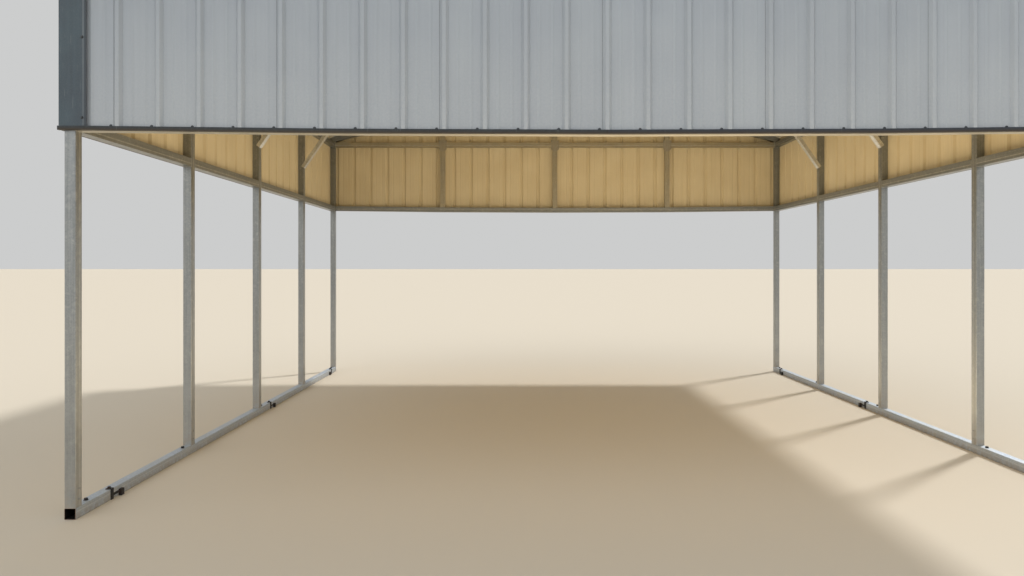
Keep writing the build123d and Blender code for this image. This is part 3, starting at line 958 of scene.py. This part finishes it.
def slate_trim(
    name,
    dark="#32404c",
    light="#3f505b",
    hem_place=None,
    lengths=None,
    lip_shaded=False,
    backed=False,
):
    """Slate baked paint, a little chalky: dark, half matt, greyed by dust, streaks and scuffs.
    Hem place is how far out a corner trim's edge is. Lengths is the axis along which two
    lengths of trim lap at the middle. Backed trims show the beige backing coat from below."""
    material = blank_material(name)
    tree = material.node_tree
    place = add(tree, "ShaderNodeTexCoord").outputs["Object"]
    parts = add(tree, "ShaderNodeSeparateXYZ", {0: place}).outputs
    clouds = add(tree, "ShaderNodeTexNoise", {"Vector": place, "Scale": 1000 / 210, "Detail": 5.0})
    fine = add(tree, "ShaderNodeTexNoise", {"Vector": place, "Scale": 1000 / 7, "Detail": 4.0})
    tone = add(tree, "ShaderNodeMapRange", {0: clouds, 1: 0.35, 2: 0.65, 3: 0.0, 4: 1.0})
    slate = add(tree, "ShaderNodeMix", {0: tone, 6: dark, 7: light}, data_type="RGBA")

    # Rain streaks, half a metre long and a finger wide.
    streaks = add(
        tree, "ShaderNodeMapping", {"Vector": place, "Scale": (1000 / 16, 1000 / 16, 1000 / 500)}
    )
    streaks = add(tree, "ShaderNodeTexNoise", {"Vector": streaks, "Scale": 1.0, "Detail": 3.0})
    wash = add(tree, "ShaderNodeMapRange", {0: streaks, 1: 0.3, 2: 0.7, 3: 0.90, 4: 1.12})
    slate = add(
        tree, "ShaderNodeMix", {0: 1.0, 6: slate, 7: wash}, data_type="RGBA", blend_type="MULTIPLY"
    )

    # Dust: a thin speckle everywhere, a soft layer on what faces the sky.
    normal = add(tree, "ShaderNodeNewGeometry").outputs["True Normal"]
    up = add(tree, "ShaderNodeSeparateXYZ", {0: normal}).outputs["Z"]
    settled = add(tree, "ShaderNodeMapRange", {0: up, 1: 0.3, 2: 1.0, 3: 0.12, 4: 0.38})
    dust = add(tree, "ShaderNodeMapRange", {0: fine, 1: 0.45, 2: 0.75, 3: 0.1, 4: 1.0})
    dust = add(tree, "ShaderNodeMath", {0: dust, 1: settled}, operation="MULTIPLY")
    slate = add(tree, "ShaderNodeMix", {0: dust, 6: slate, 7: "#888984"}, data_type="RGBA")

    # Scuffs from handling: sparse slanting hairlines a hand long.
    scuffs = add(
        tree,
        "ShaderNodeMapping",
        {"Vector": place, "Rotation": (0.4, 0.5, 0.3), "Scale": (1000 / 4, 1000 / 4, 1000 / 130)},
    )
    scuffs = add(tree, "ShaderNodeTexNoise", {"Vector": scuffs, "Scale": 1.0, "Detail": 1.0})
    scuffs = add(tree, "ShaderNodeMapRange", {0: scuffs, 1: 0.71, 2: 0.78, 3: 0.0, 4: 0.5})
    slate = add(tree, "ShaderNodeMix", {0: scuffs, 6: slate, 7: "#8c9396"}, data_type="RGBA")

    if lengths:
        # One length differs a little in shade from the next, and its end shows as a dark line.
        blur, line_half = 0.0005, 0.002
        along = parts[lengths]
        other = add(tree, "ShaderNodeMapRange", {0: along, 1: -blur, 2: blur, 3: 0.0, 4: 0.35})
        slate = add(tree, "ShaderNodeMix", {0: other, 6: slate, 7: "#2b3245"}, data_type="RGBA")
        lap = add(tree, "ShaderNodeMath", {0: along, 1: 0.0, 2: line_half}, operation="COMPARE")
        slate = add(tree, "ShaderNodeMix", {0: lap, 6: slate, 7: "#14171a"}, data_type="RGBA")

    if hem_place:
        # The hem is folded in along the edge: a dark crease that is painted shade on the hem's
        # facet, and a pale line at the bend beside it, painted highlight and rubbed paint.
        crease_from, crease_to = hem_place + 0.010, hem_place + 0.013
        bend_middle, bend_half = hem_place + 0.018, 0.005
        x = add(tree, "ShaderNodeMath", {0: parts["X"]}, operation="ABSOLUTE")
        y = add(tree, "ShaderNodeMath", {0: parts["Y"]}, operation="ABSOLUTE")
        reach = add(tree, "ShaderNodeMath", {0: x, 1: y}, operation="MINIMUM")
        crease_shade = add(
            tree, "ShaderNodeMapRange", {0: reach, 1: crease_from, 2: crease_to, 3: 0.6, 4: 0.0}
        )
        slate = add(tree, "ShaderNodeMix", {0: crease_shade, 6: slate, 7: "#2a2d33"}, data_type="RGBA")
        bend_highlight_and_wear = add(
            tree, "ShaderNodeMath", {0: reach, 1: bend_middle, 2: bend_half}, operation="COMPARE"
        )
        bend_highlight_and_wear = add(tree, "ShaderNodeMath", {0: bend_highlight_and_wear, 1: clouds}, operation="MULTIPLY")
        slate = add(tree, "ShaderNodeMix", {0: bend_highlight_and_wear, 6: slate, 7: "#6d747b"}, data_type="RGBA")

    if lip_shaded:
        # Painted shade, warmed by light from the ground: brown along the lower half of the lip,
        # which hangs a little at the middle of the gables with the girts.
        lip_shade_top, lip_shade_full = lip_top - 0.004, lip_top - 0.020
        hang = add(tree, "ShaderNodeMath", {0: parts["X"], 1: parts["X"]}, operation="MULTIPLY")
        hang = add(
            tree, "ShaderNodeMapRange", {0: hang, 1: 0.0, 2: post_inside**2, 3: girt_sag, 4: 0.0}
        )
        lip = add(tree, "ShaderNodeMath", {0: parts["Z"], 1: hang}, operation="ADD")
        lip_shade = add(
            tree, "ShaderNodeMapRange", {0: lip, 1: lip_shade_top, 2: lip_shade_full, 3: 0.1, 4: 0.75}
        )
        slate = add(tree, "ShaderNodeMix", {0: lip_shade, 6: slate, 7: "#3f3424"}, data_type="RGBA")

    if backed:
        below = add(tree, "ShaderNodeMath", {0: up, 1: -0.5}, operation="LESS_THAN")
        slate = add(tree, "ShaderNodeMix", {0: below, 6: slate, 7: "#cbbd9e"}, data_type="RGBA")

    gloss = add(tree, "ShaderNodeMapRange", {0: clouds, 1: 0.3, 2: 0.7, 3: 0.36, 4: 0.50})
    gloss = add(
        tree,
        "ShaderNodeMath",
        {0: dust, 1: 0.8, 2: gloss},
        operation="MULTIPLY_ADD",
        use_clamp=True,
    )
    bump = add(tree, "ShaderNodeBump", {"Strength": 0.4, "Distance": 0.002, "Height": clouds})
    # The lip has less shine than the other trims.
    shine = 0.3 if lip_shaded else 0.5
    coat = add(
        tree,
        "ShaderNodeBsdfPrincipled",
        {"Base Color": slate, "Roughness": gloss, "Normal": bump, "Specular IOR Level": shine},
    )
    add(tree, "ShaderNodeOutputMaterial", {"Surface": coat})
    return material


corner_low, corner_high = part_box("back_right_corner_trim")
corner_paint = slate_trim("slate paint corner trim", hem_place=corner_low.x)
corner_trims = [
    f"{end}_{side}_corner_trim" for end in ("front", "back") for side in ("left", "right")
]
give_finish(corner_trims, corner_paint)
give_finish(["ridge_cap"], slate_trim("slate paint ridge trim", lengths="Y", backed=True))
give_finish(["front_rake_trim", "back_rake_trim"], slate_trim("slate paint rake trim"))
# The lips are painted a shade darker than the other trims and brown along the lower half, as
# painted shade lit warm by the ground.
for sides, lengths in ((("front", "back"), "X"), (("left", "right"), "Y")):
    shaded_lip_paint = slate_trim(
        f"slate paint {sides[0]} lip", "#252d34", "#303941", lengths=lengths, lip_shaded=True
    )
    give_finish([f"{side}_bottom_trim" for side in sides], shaded_lip_paint)

# Each leg of a corner trim has three screws in from its hem, low, middle and high.
from_hem, from_end, middle_up = 0.024, 0.045, 0.495
corner_heights = (corner_low.z + from_end, corner_low.z + middle_up, corner_high.z - from_end)
rake_first, rake_step, rake_count = 0.30, 0.55, 6
rake_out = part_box("back_rake_trim")[1].y
trim_screws = []
for face in (-1, 1):
    for side in (-1, 1):
        x, y = side * (corner_low.x + from_hem), face * (corner_low.y + from_hem)
        for z in corner_heights:
            trim_screws.append(((x, face * corner_high.y, z), (0, face, 0)))
            trim_screws.append(((side * corner_high.x, y, z), (side, 0, 0)))
    for side in (-1, 1):
        for step in range(rake_count):
            reach = rake_first + rake_step * step
            spot = Vector((0, face * rake_out, ridge_top)) + down_roof[side] * reach
            trim_screws.append((tuple(spot), (0, face, 0)))
# The ridge cap lies on the ribs, and a screw goes through each rib near the cap's edge.
cap_reach, rib_out, cap_thickness = 0.150, 0.01955, 0.001
for side in (-1, 1):
    for rib in wall_ribs:
        spot = Vector((0, rib * rib_pitch, ridge_top)) + down_roof[side] * cap_reach
        spot += off_roof[side] * (hat_height + rib_out + cap_thickness)
        trim_screws.append((tuple(spot), tuple(off_roof[side])))
drive_screws("trim_screws", trim_screws, sheet_screw)


# Size of the finished model.

low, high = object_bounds()
